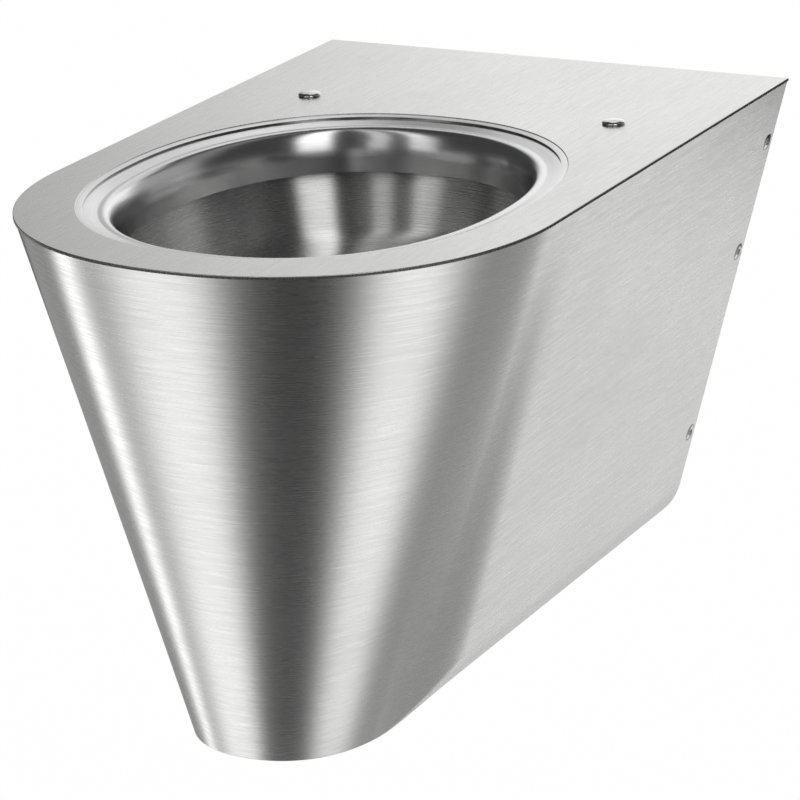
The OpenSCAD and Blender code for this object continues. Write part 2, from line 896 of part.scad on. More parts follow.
// The space of the rim's flange, which its neighbours are cut back from
module rim_room() {
    over = flange_out + weld_gap;
    drop = bowl_top_drop - deck_t;
    translate([0, -opening_y, z_deck - drop])
        linear_extrude(drop + cut)
            polygon(oval(opening_a + over, opening_b + over, ring_power, round_steps));
}

module left_gusset() { gusset(-1); }
module right_gusset() { gusset(1); }

// A rib in the nose, between the skirt and the bowl
rib_t = 3;
rib_h = 32;

module nose_rib() {
    lean = (body_l - deck_overhang - foot_l) / (z_deck - z_low);
    high = z_deck - weld_gap;
    nose_y = body_l - deck_overhang - sheet_t / cos(atan(lean)) - weld_gap - lean * weld_gap;
    inside = bowl_front + bowl_b / 4;
    color([0.62, 0.63, 0.64])
        difference() {
            translate([-rib_t / 2, 0, 0])
                rotate([90, 0, 90])
                    linear_extrude(rib_t)
                        polygon([
                            [-nose_y, high], [-nose_y + lean * rib_h, high - rib_h],
                            [inside, high - rib_h], [inside, high]
                        ]);
            wall_form(weld_gap);
            rim_room();
        }
}

// A saddle under the sump, and one under the waste spigot, both standing on the bottom plate
saddle_w = 56;
saddle_l = 44;
saddle_low = z_low + sheet_t + weld_gap;

module sump_saddle() {
    high = z_sump - sump_r * 2 / 3;
    color([0.58, 0.59, 0.6])
        difference() {
            translate([-saddle_w / 2, sump_y - saddle_l / 2, saddle_low])
                cube([saddle_w, saddle_l, high - saddle_low]);
            translate([-saddle_w / 2 + sheet_t, sump_y - saddle_l / 2 - cut, saddle_low + sheet_t])
                cube([saddle_w - 2 * sheet_t, saddle_l + 2 * cut, high - saddle_low]);
            sump_form(sheet_t + weld_gap);
        }
}

cradle_w = 64;
cradle_l = 16;
cradle_t = 2;
cradle_rise = 20;

module spigot_saddle() {
    grip_r = trap_o + weld_gap;
    window = z_outlet - grip_r - saddle_low - 2 * cradle_t;
    color([0.58, 0.59, 0.6])
        translate([0, y_last + (neck_l + cradle_l) / 2, 0])
            rotate([90, 0, 0])
                linear_extrude(cradle_l)
                    difference() {
                        translate([-cradle_w / 2, saddle_low])
                            square([cradle_w, z_outlet - cradle_rise - saddle_low]);
                        translate([0, z_outlet]) circle(grip_r);
                        translate([-cradle_w / 2 + cradle_t, saddle_low + cradle_t])
                            square([cradle_w - 2 * cradle_t, window]);
                    }
}

// The earthing tab on the wall plate, a bent angle with its screw and nut
tab_drop = 10;
tab_w = 20;
tab_d = 24;
tab_h = 18;
tab_t = 2;
tab_hole_r = 3.2;
earth_r = 3;
earth_l = 16;
earth_head_r = 5.5;
earth_head_h = 4;
earth_nut_h = 5;

module at_earth() {
    translate([0, -plate_t - tab_d / 2, -tab_drop]) children();
}

module earth_tab() {
    color([0.7, 0.66, 0.5])
        difference() {
            translate([0, -plate_t, -tab_drop])
                rotate([90, 0, -90])
                    translate([0, 0, -tab_w / 2])
                        linear_extrude(tab_w)
                            polygon([[0, 0], [tab_d, 0], [tab_d, -tab_t], [tab_t, -tab_t], [tab_t, -tab_h], [0, -tab_h]]);
            at_earth() translate([0, 0, -cut]) cylinder(r = tab_hole_r, h = 2 * cut);
        }
}

module earth_screw() {
    color([0.6, 0.6, 0.58])
        at_earth() {
            cylinder(r = earth_head_r, h = earth_head_h);
            translate([0, 0, -earth_l]) cylinder(r = earth_r, h = earth_l);
        }
}

module earth_nut() {
    color([0.68, 0.67, 0.6])
        at_earth() translate([0, 0, -tab_t - earth_nut_h]) hex_nut(weld_nut_af, earth_r + thread_gap, earth_nut_h);
}

top_plate();
bowl_rim();
bowl();
sump();
skirt();
bottom_plate();
trap_mouth();
trap_bend();
trap_riser();
trap_crown();
trap_tail();
outlet_spigot();
flush_box();
flush_socket();
flush_seal();
flush_spreader();
wall_plate();
wall_washers();
wall_nuts();
hanging_rail();
side_screws();
weld_nuts();
hole_stoppers();
stopper_washers();
stopper_nuts();
seat_hole_plates();
left_gusset();
right_gusset();
nose_rib();
sump_saddle();
spigot_saddle();
earth_tab();
earth_screw();
earth_nut();
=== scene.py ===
import json
import math

import bpy
from mathutils import Matrix, Vector


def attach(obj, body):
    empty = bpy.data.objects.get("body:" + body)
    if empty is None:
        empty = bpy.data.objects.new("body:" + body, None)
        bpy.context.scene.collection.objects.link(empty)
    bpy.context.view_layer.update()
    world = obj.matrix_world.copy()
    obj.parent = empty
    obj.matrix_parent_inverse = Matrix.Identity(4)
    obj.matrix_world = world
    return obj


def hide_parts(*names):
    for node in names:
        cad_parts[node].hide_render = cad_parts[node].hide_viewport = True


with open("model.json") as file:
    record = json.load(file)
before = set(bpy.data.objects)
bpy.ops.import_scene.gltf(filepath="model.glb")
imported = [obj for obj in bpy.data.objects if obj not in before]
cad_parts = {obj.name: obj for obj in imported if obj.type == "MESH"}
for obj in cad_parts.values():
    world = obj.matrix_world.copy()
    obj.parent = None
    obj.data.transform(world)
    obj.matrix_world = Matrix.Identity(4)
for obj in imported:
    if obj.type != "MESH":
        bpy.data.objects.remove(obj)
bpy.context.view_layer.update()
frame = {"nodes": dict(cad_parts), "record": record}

bpy.ops.object.select_all(action="DESELECT")
scene = bpy.context.scene

# Camera
# A long lens in front of the pan, to its right and above it.
camera_place = (1.202245, -2.482948, 0.762871)
forward = Vector((-0.44938244, 0.83352784, -0.32138259))
right = Vector((0.88588852, 0.46216507, -0.04006219))
up = right.cross(forward)
sensor_mm = 36
lens_mm = 178.46
bpy.ops.object.camera_add()
camera = bpy.context.object
camera.name = "camera"
camera.data.sensor_width = sensor_mm
camera.data.lens = lens_mm
camera.data.clip_end = 100
camera_turn = Matrix((right, up, -forward)).transposed().to_4x4()
camera.matrix_world = Matrix.Translation(camera_place) @ camera_turn
scene.camera = camera
scene.view_settings.view_transform = "Standard"

# Background
# Plain white, for the camera and for what the steel and rubber reflect beyond the studio.
world = bpy.data.worlds.new("world")
scene.world = world
world.use_nodes = True
sky = world.node_tree.nodes["Background"]
sky.inputs["Color"].default_value = (1, 1, 1, 1)
sky.inputs["Strength"].default_value = 1

# Studio
# A round surround of pale and dark panels, a dark ceiling, and a pale floor far below the pan.
# The surround and the ceiling light the steel and show in it, and the camera doesn't see them.
surround_r = 3
studio_y = -0.38
floor_z = -3.7
surround_low = -3.65
band_low = -1.03
mid_low = 0
high_low = 1.34
top_low = 2.26
ceiling_z = 3.8
pale_base = 0.39
band_base = 0.03
dark_base = 0.06
ceiling_base = 0.05
floor_size = 80
floor_colour = (0.9, 0.9, 0.9, 1)
floor_white = 0.97


def shader(name):
    made = bpy.data.materials.new(name)
    made.use_nodes = True
    made.node_tree.nodes.clear()
    return made, made.node_tree.nodes, made.node_tree.links


# Gives a socket a plain number or a link
def feed(links, value, socket):
    if isinstance(value, (int, float)):
        socket.default_value = value
    elif value is not None:
        links.new(value, socket)


def math_node(nodes, links, operation, first, second=None, third=None):
    made = nodes.new("ShaderNodeMath")
    made.operation = operation
    for place, value in enumerate((first, second, third)):
        feed(links, value, made.inputs[place])
    return made.outputs[0]


def ranged(nodes, links, value, low, high, low_to, high_to, kind="LINEAR"):
    made = nodes.new("ShaderNodeMapRange")
    made.interpolation_type = kind
    made.inputs["From Min"].default_value = low
    made.inputs["From Max"].default_value = high
    made.inputs["To Min"].default_value = low_to
    made.inputs["To Max"].default_value = high_to
    links.new(value, made.inputs["Value"])
    return made.outputs[0]


def finish_shader(nodes, links, last):
    out = nodes.new("ShaderNodeOutputMaterial")
    links.new(last.outputs[0], out.inputs["Surface"])


# Each panel is the direction of its middle in degrees from +X, its half width, the width of its
# soft edge, and its level; base is the level between the panels.
def light_up(wall, name, base, panels):
    wall.name = name
    wall.location = (0, studio_y, 0)
    wall.visible_camera = False
    made, nodes, links = shader(name)
    place = nodes.new("ShaderNodeTexCoord")
    parts = nodes.new("ShaderNodeSeparateXYZ")
    links.new(place.outputs["Object"], parts.inputs[0])
    direction = math_node(nodes, links, "ARCTAN2", parts.outputs["Y"], parts.outputs["X"])
    level = base
    for middle, half_width, soft, strength in panels:
        away = math_node(nodes, links, "SUBTRACT", direction, math.radians(middle))
        away = math_node(nodes, links, "WRAP", away, math.pi, -math.pi)
        away = math_node(nodes, links, "ABSOLUTE", away)
        full = math.radians(half_width)
        none = math.radians(half_width + soft)
        share = ranged(nodes, links, away, full, none, 1, 0, "SMOOTHSTEP")
        mixed = nodes.new("ShaderNodeMix")
        links.new(share, mixed.inputs["Factor"])
        feed(links, level, mixed.inputs[2])
        mixed.inputs[3].default_value = strength
        level = mixed.outputs[0]
    glow = nodes.new("ShaderNodeEmission")
    links.new(level, glow.inputs["Strength"])
    finish_shader(nodes, links, glow)
    wall.data.materials.append(made)


def surround(name, low, high, base, panels):
    bpy.ops.mesh.primitive_cylinder_add(
        vertices=128, radius=surround_r, depth=1, end_fill_type="NOTHING"
    )
    wall = bpy.context.object
    for vertex in wall.data.vertices:
        vertex.co.z = high if vertex.co.z > 0 else low
    light_up(wall, name, base, panels)


# The lowest panels show in the skirt, the front ones in the bowl and the rear ones in the top plate
low_panels = [
    (-14, 10, 34, 1.6),
    (-156, 14, 14, 0.5),
    (-126, 8, 27, 1.65),
    (-70, 5, 50, 0),
    (-175, 3.5, 4, 2.9),
    (74, 3, 1.5, 2.0),
    (98, 20, 6, 0.75),
]
lower_front = [
    (55, 10, 16, 0.45),
    (-100, 22, 10, 0.12),
    (-87, 4, 6, 0.7),
    (-115, 4, 4, 1.0),
    (-41, 7, 10, 1.3),
]
upper_front = [
    (46, 8, 18, 0.26),
    (-100, 22, 10, 0.12),
    (-91, 4, 6, 0.8),
    (-118, 4, 4, 1.25),
    (-40, 9, 8, 1.75),
]
band_panels = [(160, 12, 12, 0.35)]
mid_panels = [(96, 14, 31, 1.2)] + lower_front
high_panels = [(104, 20, 16, 0.85)] + upper_front
top_panels = [(110, 7, 8, 1.3)] + upper_front
surround("low_surround", surround_low, band_low, pale_base, low_panels)
surround("dark_band", band_low, mid_low, band_base, band_panels)
surround("mid_surround", mid_low, high_low, dark_base, mid_panels)
surround("high_surround", high_low, top_low, dark_base, high_panels)
surround("top_surround", top_low, ceiling_z, dark_base, top_panels)
bpy.ops.mesh.primitive_circle_add(vertices=128, radius=surround_r, fill_type="TRIFAN")
ceiling = bpy.context.object
ceiling.data.transform(Matrix.Translation((0, 0, ceiling_z)))
light_up(ceiling, "ceiling", ceiling_base, upper_front)

bpy.ops.mesh.primitive_plane_add(size=floor_size, location=(0, 0, floor_z))
bpy.ops.object.transform_apply(location=True, scale=True)
floor = bpy.context.object
floor.name = "floor"
made, nodes, links = shader("floor")
pale = nodes.new("ShaderNodeBsdfDiffuse")
pale.inputs["Color"].default_value = floor_colour
white = nodes.new("ShaderNodeEmission")
white.inputs["Strength"].default_value = 1
path = nodes.new("ShaderNodeLightPath")
share = math_node(nodes, links, "MULTIPLY", path.outputs["Is Camera Ray"], floor_white)
both = nodes.new("ShaderNodeMixShader")
links.new(share, both.inputs[0])
links.new(pale.outputs[0], both.inputs[1])
links.new(white.outputs[0], both.inputs[2])
finish_shader(nodes, links, both)
floor.data.materials.append(made)

# Skirt
# One bent sheet of 1.5 mm satin steel, brushed along its length, with a conical front.
# It hangs below the top plate; a large bend along each lower edge fades out towards the nose.
sheet_t = 0.0015
z_top = 0.08
z_deck = 0.078
z_low = -0.265
# The upper edge: half width, where the nose starts, how far it reaches, and how square it is
skirt_a = 0.1792
nose_start = 0.377
skirt_nose = 0.1722
deck_power = 2.12
# The lower edge before bending: the same, and how much wider it is away from the nose
foot_a = 0.067
foot_wider = 0.0155
foot_start = 0.398
foot_nose = 0.086
foot_power = 2.25
# The bend's radius at the nose, what is added along the sides, and where that fades out
bend_r = 0.0008
bend_r_more = 0.0462
fade_start = 0.355
fade_l = 0.07
# The side screws: distance of their axes from the wall, their heights, and their countersinks
screw_y = -0.0085
screw_heights = (0.035, -0.047, -0.187)
sink_r = 0.0093
sink_end_r = 0.0034
sink_t = 0.0059
wall_steps = 12
bend_steps = 16
side_steps = 24
nose_steps = 96


# Turns a sine or cosine into one of a plan curve: exponent 2 gives an ellipse, more a squarer one
def power(value, exponent):
    return math.copysign(abs(value) ** (2 / exponent), value)


# One line down the right half of the skirt: share runs along the side, angle round the nose
def skirt_line(share, angle):
    across = skirt_a * power(math.cos(angle), deck_power)
    out = nose_start * share + skirt_nose * power(math.sin(angle), deck_power)
    top = Vector((across, -out))
    back = foot_start * share + foot_nose * power(math.sin(angle), foot_power)
    away = min(max((back - fade_start) / fade_l, 0), 1)
    fade = 1 - away * away * (3 - 2 * away)
    foot = Vector((foot_a * power(math.cos(angle), foot_power) + foot_wider * fade, -back))
    radius = bend_r + bend_r_more * fade
    inward = (foot - top).normalized()
    lean = math.atan((foot - top).length / (z_deck - z_low))
    centre = foot + inward * radius * math.tan((math.pi / 2 - lean) / 2)
    bend = []
    for step in range(bend_steps + 1):
        turn = lean + (math.pi / 2 - lean) * step / bend_steps
        flat = centre - inward * radius * math.cos(turn)
        bend.append(Vector((flat.x, flat.y, z_low + radius * (1 - math.sin(turn)))))
    first = Vector((top.x, top.y, z_deck))
    return [first.lerp(bend[0], step / wall_steps) for step in range(wall_steps)] + bend


def add_mesh(name, points, edges, faces):
    mesh = bpy.data.meshes.new(name)
    mesh.from_pydata(points, edges, faces)
    piece = bpy.data.objects.new(name, mesh)
    scene.collection.objects.link(piece)
    return piece


# Joins rows of points into a sheet whose UV map is in metres: U from row to row, V down each row
def sheet_mesh(name, rows, closed):
    count = len(rows[0])
    middle = count // 3
    gaps = len(rows) if closed else len(rows) - 1
    down = []
    for row in rows:
        line = [0]
        for step in range(count - 1):
            line.append(line[-1] + (row[step + 1] - row[step]).length)
        down.append(line)
    along = [0]
    for row in range(gaps):
        after = (row + 1) % len(rows)
        along.append(along[-1] + (rows[after][middle] - rows[row][middle]).length)
    faces = []
    corners = []
    for row in range(gaps):
        after = (row + 1) % len(rows)
        for step in range(count - 1):
            here = row * count + step
            there = after * count + step
            faces.append((here, here + 1, there + 1, there))
            corners.append((along[row], down[row][step]))
            corners.append((along[row], down[row][step + 1]))
            corners.append((along[row + 1], down[after][step + 1]))
            corners.append((along[row + 1], down[after][step]))
    piece = add_mesh(name, [point for row in rows for point in row], [], faces)
    layer = piece.data.uv_layers.new(name="sheet")
    for corner, place in zip(layer.data, corners):
        corner.uv = place
    return piece


def pick(piece):
    bpy.ops.object.select_all(action="DESELECT")
    bpy.context.view_layer.objects.active = piece
    piece.select_set(True)


def apply_modifiers(piece):
    pick(piece)
    for modifier in list(piece.modifiers):
        bpy.ops.object.modifier_apply(modifier=modifier.name)


def thicken(piece):
    solid = piece.modifiers.new("sheet", "SOLIDIFY")
    solid.thickness = sheet_t
    solid.offset = -1
    solid.use_even_offset = True
    apply_modifiers(piece)


def smooth(piece, degrees):
    pick(piece)
    bpy.ops.object.shade_smooth_by_angle(angle=math.radians(degrees))


def cut_out(piece, cutter):
    hole = piece.modifiers.new("hole", "BOOLEAN")
    hole.operation = "DIFFERENCE"
    hole.solver = "EXACT"
    hole.object = cutter
    apply_modifiers(piece)
    bpy.data.objects.remove(cutter)


right_half = [skirt_line(step / side_steps, 0) for step in range(side_steps)]
right_half += [skirt_line(1, math.pi / 2 * step / nose_steps) for step in range(nose_steps + 1)]
left_half = [[Vector((-p.x, p.y, p.z)) for p in line] for line in reversed(right_half[:-1])]
skirt = sheet_mesh("skirt_sheet", right_half + left_half, False)
skirt.data.flip_normals()
thicken(skirt)

# The six side screws' axes are square to the leaning sides
side_lean = math.atan((skirt_a - foot_a - foot_wider) / (z_deck - z_low))
screw_places = []
for side in (1, -1):
    tilt = Matrix.Rotation(side * (math.pi / 2 + side_lean), 4, "Y")
    for z in screw_heights:
        x = skirt_a - (z_deck - z) * math.tan(side_lean)
        screw_places.append(Matrix.Translation((side * x, screw_y, z)) @ tilt)
for place in screw_places:
    bpy.ops.mesh.primitive_cone_add(
        vertices=64, radius1=sink_end_r, radius2=sink_r, depth=sink_t
    )
    cone = bpy.context.object
    cone.data.transform(place)
    cut_out(skirt, cone)
smooth(skirt, 30)


# Satin steel
# Brushed 1.5 to 2 mm stainless sheet: fine even streaks along the sheet, and faint broad clouding.
def group(name, sockets):
    made = bpy.data.node_groups.new(name, "ShaderNodeTree")
    for socket, way, kind in sockets:
        made.interface.new_socket(socket, in_out=way, socket_type=kind)
    return made, made.nodes, made.links


def stretched_noise(nodes, links, vector, scale, detail):
    placed = nodes.new("ShaderNodeMapping")
    placed.vector_type = "POINT"
    placed.inputs["Scale"].default_value = scale
    links.new(vector, placed.inputs["Vector"])
    noise = nodes.new("ShaderNodeTexNoise")
    noise.inputs["Scale"].default_value = 1
    noise.inputs["Detail"].default_value = detail
    links.new(placed.outputs[0], noise.inputs["Vector"])
    return noise.outputs[0]


# Streaks: the vector is in metres, its X along the brushing; scales are in marks per metre
fine_marks = (60, 1600, 1600)
broad_marks = (14, 420, 420)
cloud_marks = (5, 9, 9)
fine_share = 0.5
broad_share = 0.3
cloud_share = 0.2
tone_low = 0.35
tone_high = 0.65
mark_depth = 0.00002
sockets = [
    ("Vector", "INPUT", "NodeSocketVector"),
    ("Fine", "OUTPUT", "NodeSocketFloat"),
    ("Broad", "OUTPUT", "NodeSocketFloat"),
    ("Cloud", "OUTPUT", "NodeSocketFloat"),
]
streaks, nodes, links = group("streaks", sockets)
start = nodes.new("NodeGroupInput")
end = nodes.new("NodeGroupOutput")
kinds = [("Fine", fine_marks, 3), ("Broad", broad_marks, 3), ("Cloud", cloud_marks, 2)]
for socket, marks, detail in kinds:
    noise = stretched_noise(nodes, links, start.outputs[0], marks, detail)
    links.new(noise, end.inputs[socket])


def between(nodes, links, share, dark, light):
    made = nodes.new("ShaderNodeMix")
    made.data_type = "RGBA"
    made.inputs[6].default_value = (*dark, 1)
    made.inputs[7].default_value = (*light, 1)
    links.new(share, made.inputs["Factor"])
    return made.outputs[2]


def relief(nodes, links, height, strength, distance):
    made = nodes.new("ShaderNodeBump")
    made.inputs["Strength"].default_value = strength
    made.inputs["Distance"].default_value = distance
    links.new(height, made.inputs["Height"])
    return made.outputs[0]


# Steel with an anisotropy is brushed along the U of its UV map, and other steel along the object's
# axis that comes first in axes. The marks move its roughness up and down by spread.
def brushed(name, dark, light, rough, spread, anisotropy, bump, axes="XYZ"):
    made, nodes, links = shader(name)
    metal = nodes.new("ShaderNodeBsdfPrincipled")
    metal.inputs["Metallic"].default_value = 1
    finish_shader(nodes, links, metal)
    place = nodes.new("ShaderNodeTexCoord")
    if anisotropy:
        vector = place.outputs["UV"]
        tangent = nodes.new("ShaderNodeTangent")
        tangent.direction_type = "UV_MAP"
        links.new(tangent.outputs[0], metal.inputs["Tangent"])
        metal.inputs["Anisotropic"].default_value = anisotropy
        metal.inputs["Anisotropic Rotation"].default_value = 0.25
    else:
        parts = nodes.new("ShaderNodeSeparateXYZ")
        links.new(place.outputs["Object"], parts.inputs[0])
        joined = nodes.new("ShaderNodeCombineXYZ")
        for letter, other in zip("XYZ", axes):
            links.new(parts.outputs[other], joined.inputs[letter])
        vector = joined.outputs[0]
    marks = nodes.new("ShaderNodeGroup")
    marks.node_tree = streaks
    links.new(vector, marks.inputs[0])
    fine = math_node(nodes, links, "MULTIPLY", marks.outputs["Fine"], fine_share)
    tone = math_node(nodes, links, "MULTIPLY_ADD", marks.outputs["Broad"], broad_share, fine)
    tone = math_node(nodes, links, "MULTIPLY_ADD", marks.outputs["Cloud"], cloud_share, tone)
    share = ranged(nodes, links, tone, tone_low, tone_high, 0, 1)
    dullness = ranged(nodes, links, tone, tone_low, tone_high, rough + spread, rough - spread)
    links.new(between(nodes, links, share, dark, light), metal.inputs["Base Color"])
    links.new(dullness, metal.inputs["Roughness"])
    links.new(relief(nodes, links, fine, bump, mark_depth), metal.inputs["Normal"])
    return made


def finish_piece(piece, material, slot, *replaced):
    piece.data.materials.clear()
    piece.data.materials.append(material)
    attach(piece, "root")
    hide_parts(*replaced)


satin = brushed(
    "satin_steel", (0.585, 0.585, 0.58), (0.675, 0.675, 0.67),
    rough=0.28, spread=0.03, anisotropy=0.8, bump=0.12,
)
finish_piece(skirt, satin, "satin_steel", "skirt")

# Top plate
# A flat 2 mm satin sheet with rounded edges, an oval opening and two seat holes, brushed from
# the wall to the front and welded on the skirt, which it overhangs a little.
deck_a = 0.18
deck_nose = 0.173
opening_edge_r = 0.0008
outer_edge_share = 0.6
opening_a = 0.148
opening_b = 0.1705
opening_y = -0.343
ring_power = 2.2
round_steps = 288
seat_x = 0.116
seat_y = -0.151
seat_hole_r = 0.0045
seat_cut_h = 0.01
seat_places = [Matrix.Translation((side * seat_x, seat_y, z_top)) for side in (-1, 1)]


def oval(a, b, exponent, y):
    made = []
    for step in range(round_steps):
        angle = 2 * math.pi * step / round_steps
        across = a * power(math.cos(angle), exponent)
        made.append((across, y + b * power(math.sin(angle), exponent)))
    return made


# The plate's outer edge as close points: right side, nose, left side and rear
straight_steps = 200
curve_steps = 800
edge = []
for step in range(straight_steps):
    edge.append((deck_a, -nose_start * step / straight_steps))
for step in range(curve_steps + 1):
    angle = math.pi * step / curve_steps
    out = nose_start + deck_nose * power(math.sin(angle), deck_power)
    edge.append((deck_a * power(math.cos(angle), deck_power), -out))
for step in range(1, straight_steps + 1):
    edge.append((-deck_a, -nose_start * (1 - step / straight_steps)))
for step in range(1, straight_steps + 1):
    edge.append((-deck_a + 2 * deck_a * step / straight_steps, 0))


# The point of the outer edge that lies in a direction from the opening's middle
def outer_point(x, y):
    def nearness(point):
        away = point[1] - opening_y
        return (point[0] * x + away * y) / math.hypot(point[0], away)

    return max(edge, key=nearness)


inner = oval(opening_a, opening_b, ring_power, opening_y)
outer = [outer_point(x, y - opening_y) for x, y in inner]
for corner in ((deck_a, 0), (-deck_a, 0)):
    near = min(range(round_steps), key=lambda k: math.dist(outer[k], corner))
    outer[near] = corner
points = []
for height in (z_top, z_deck):
    points += [(x, y, height) for x, y in inner + outer]
top_inner, top_outer, low_inner, low_outer = (round_steps * k for k in range(4))
faces = []
for first, second in (
    (top_inner, top_outer),
    (top_outer, low_outer),
    (low_outer, low_inner),
    (low_inner, top_inner),
):
    for step in range(round_steps):
        after = (step + 1) % round_steps
        faces.append((first + step, second + step, second + after, first + after))
deck = add_mesh("deck_sheet", points, [], faces)

# The upper edges are rounded, the opening's more than the outer one
weights = deck.data.attributes.new("bevel_weight_edge", "FLOAT", "EDGE")
for line in deck.data.edges:
    first, second = line.vertices
    if max(first, second) < low_inner and abs(first - second) in (1, round_steps - 1):
        weights.data[line.index].value = 1 if first < top_outer else outer_edge_share
rounding = deck.modifiers.new("rounding", "BEVEL")
rounding.width = opening_edge_r
rounding.segments = 4
rounding.limit_method = "WEIGHT"
apply_modifiers(deck)
for place in seat_places:
    bpy.ops.mesh.primitive_cylinder_add(vertices=64, radius=seat_hole_r, depth=seat_cut_h)
    hole = bpy.context.object
    hole.data.transform(place)
    cut_out(deck, hole)

# The UV map in metres: flat faces are brushed from the wall to the front, edges along their height
while deck.data.uv_layers:
    deck.data.uv_layers.remove(deck.data.uv_layers[0])
layer = deck.data.uv_layers.new(name="sheet")
mean_r = 0.16
for face in deck.data.polygons:
    for corner in face.loop_indices:
        place = deck.data.vertices[deck.data.loops[corner].vertex_index].co
        around = mean_r * math.atan2(place.y - opening_y, place.x)
        flat = abs(face.normal.z) > 0.7
        layer.data[corner].uv = (place.y, place.x) if flat else (place.z, around)
smooth(deck, 40)
even = deck.modifiers.new("even", "WEIGHTED_NORMAL")
even.weight = 100
even.keep_sharp = True
apply_modifiers(deck)
deck_satin = brushed(
    "deck_steel", (0.58, 0.58, 0.575), (0.68, 0.68, 0.675),
    rough=0.28, spread=0.03, anisotropy=0.8, bump=0.12,
)
finish_piece(deck, deck_satin, "satin_steel", "top_plate")

# Bowl rim
# One pressed and polished ring under the opening's edge: a flange, a sloping ring, a rolled lip
# and an upright collar, whose lower edge the flush water leaves by.
curve_points = 4
# From the flange to the collar's lower edge: how far inward from the opening's edge each point
# lies, and how far below the top plate
rim_points = [
    (-0.008, 0),
    (-0.0006, 0),
    (0.0001, 0.0002),
    (0.0004, 0.0009),
    (0.0011, 0.0016),
    (0.006, 0.0026),
    (0.0121, 0.0041),
    (0.0137, 0.0043),
    (0.0168, 0.0043),
    (0.0189, 0.0055),
    (0.0206, 0.0082),
    (0.0220, 0.0118),
    (0.0230, 0.0158),
    (0.0235, 0.0200),
    (0.0235, 0.0235),
    (0.0235, 0.0280),
    (0.0235, 0.032),
]


# A smooth line through points
def through(points):
    made = []
    for place in range(len(points) - 1):
        before = Vector(points[max(place - 1, 0)])
        first = Vector(points[place])
        second = Vector(points[place + 1])
        after = Vector(points[min(place + 2, len(points) - 1)])
        square = 2 * before - 5 * first + 4 * second - after
        cube = 3 * first - before - 3 * second + after
        for step in range(curve_points):
            u = step / curve_points
            made.append(first + ((second - before) + square * u + cube * u * u) * u / 2)
    made.append(Vector(points[-1]))
    return made


# A closed sheet from level rings, each a half width, a half length, a power, a middle and a height
def ring_sheet(name, rings):
    loops = []
    for a, b, exponent, y_middle, z in rings:
        loops.append([Vector((x, y, z)) for x, y in oval(a, b, exponent, y_middle)])
    piece = sheet_mesh(name, list(zip(*loops)), True)
    thicken(piece)
    return piece


rings = []
for inward, down in through(rim_points):
    rings.append((opening_a - inward, opening_b - inward, ring_power, opening_y, z_deck - down))
rim = ring_sheet("rim_ring", rings)
smooth(rim, 40)
polished = brushed(
    "polished_steel", (0.66, 0.66, 0.66), (0.72, 0.72, 0.72),
    rough=0.22, spread=0.03, anisotropy=0.75, bump=0.15,
)
finish_piece(rim, polished, "polished_steel", "bowl_rim")

# Bowl
# A pressed oval bowl of 1.5 mm sheet behind the collar, ground round its wall: upright at its top,
# then a straight cone, then rounded in to the sump, with the flush slot at its rear.
channel_w = 0.010
bowl_a = opening_a - channel_w
bowl_b = opening_b - channel_w
bowl_rear = opening_y + bowl_b
bowl_front = opening_y - bowl_b
bowl_top_drop = 0.0073333
z_upright_end = 0.052
z_cone = 0.050
cone_slope = 0.34
z_round = 0.038
z_sump = -0.135
sump_r = 0.045
sump_rear = -0.310
sump_front = -0.400
rear_power = 1.3
ease = 0.0015
bowl_steps = 56
slot_middle = (0, -0.185, 0.056)
slot_size = (0.076, 0.015, 0.020, 1)


# How far the wall has come in: by the cone or by the rounded form, whichever is more, eased over
def drawn_in(cone, rounded):
    return (cone + rounded + math.hypot(cone - rounded, ease)) / 2


rings = [(bowl_a, bowl_b, ring_power, opening_y, z) for z in (z_top - bowl_top_drop, z_upright_end)]
for step in range(bowl_steps + 1):
    z = z_cone + (z_sump - z_cone) * step / bowl_steps
    cone = cone_slope * (z_cone - z)
    u = min(max((z_round - z) / (z_round - z_sump), 0), 1)
    k = (1 + math.cos(math.pi * u)) / 2
    half_width = bowl_a - drawn_in(cone, (bowl_a - sump_r) * (1 - k))
    rear = bowl_rear - drawn_in(cone, (bowl_rear - sump_rear) * (1 - k ** rear_power))
    front = bowl_front + drawn_in(cone, (sump_front - bowl_front) * (1 - k))
    exponent = 2 + (ring_power - 2) * k
    rings.append((half_width, (rear - front) / 2, exponent, (rear + front) / 2, z))
bowl = ring_sheet("bowl_shell", rings)
bpy.ops.mesh.primitive_cube_add(size=1)
slot = bpy.context.object
slot.data.transform(Matrix.Translation(slot_middle) @ Matrix.Diagonal(slot_size))
cut_out(bowl, slot)
smooth(bowl, 35)
ground = brushed(
    "bowl_steel", (0.56, 0.56, 0.555), (0.62, 0.62, 0.615),
    rough=0.27, spread=0.03, anisotropy=0.95, bump=0.25,
)
finish_piece(bowl, ground, "bowl_steel", "bowl")

# Seat hole stoppers
# Two polished turned plugs with shallow domes; each stem passes down to its washer and nut.
dome_r = 0.026
dome_reach = 0.0062
dome_high = 0.003
dome_steps = 8
stem_r = 0.004
stem_l = 0.022
chamfer = 0.0003


# One body turned round Z from its outline, at each of the places
def turned(name, outline, places):
    parts = []
    edges = [(k, k + 1) for k in range(len(outline) - 1)]
    for place in places:
        part = add_mesh(name, [(x, 0, z) for x, z in outline], edges, [])
        pick(part)
        bpy.ops.object.mode_set(mode="EDIT")
        bpy.ops.mesh.select_all(action="SELECT")
        bpy.ops.mesh.spin(steps=64, angle=2 * math.pi, center=(0, 0, 0), axis=(0, 0, 1))
        bpy.ops.mesh.select_all(action="SELECT")
        bpy.ops.mesh.remove_doubles(threshold=0.000001)
        bpy.ops.mesh.normals_make_consistent(inside=False)
        bpy.ops.object.mode_set(mode="OBJECT")
        part.data.transform(place)
        parts.append(part)
    pick(parts[0])
    for part in parts:
        part.select_set(True)
    bpy.ops.object.join()
    return parts[0]


